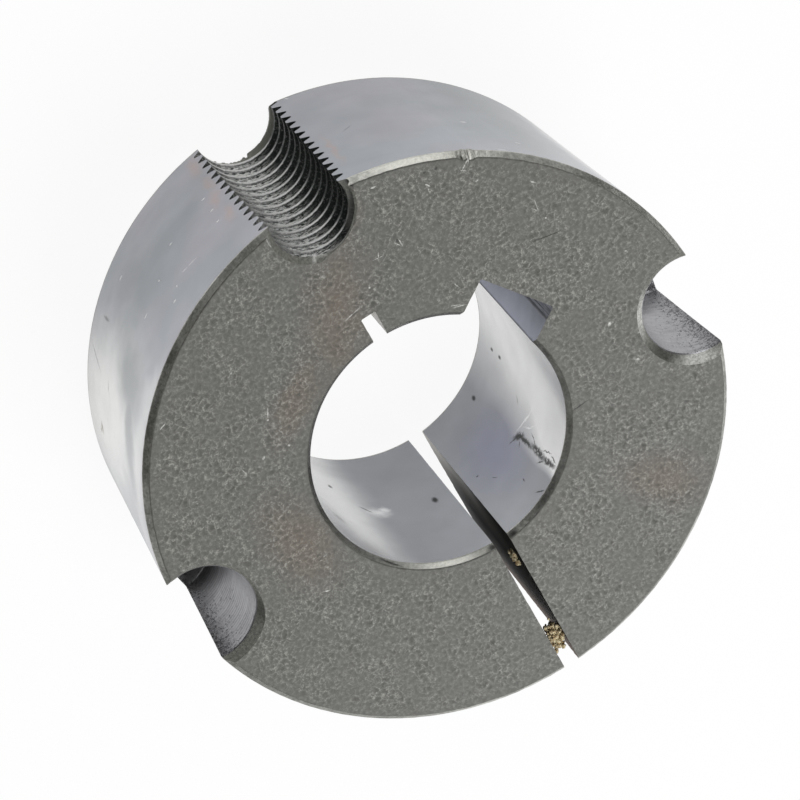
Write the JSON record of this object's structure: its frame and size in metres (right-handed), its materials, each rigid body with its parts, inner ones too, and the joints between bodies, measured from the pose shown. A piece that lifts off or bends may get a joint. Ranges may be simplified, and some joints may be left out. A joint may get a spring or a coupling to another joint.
{
  "type": "taper bush",
  "caption": "Slit tapered locking bush with a keyed through bore, a threaded half hole and blind half holes in its tapered side.",
  "frame": {"origin": "middle of the small end face, on the bore axis", "axes": "+Z along the bore, from the small end to the large end; +Y through the threaded half hole; the slit is at -Y"},
  "size_m": [0.0568, 0.0568, 0.0254],
  "materials": {
    "iron": "ground taper, phosphated end face"
  },
  "bodies": {
    "root": {"taper_bush": "iron"}
  },
  "joints": []
}
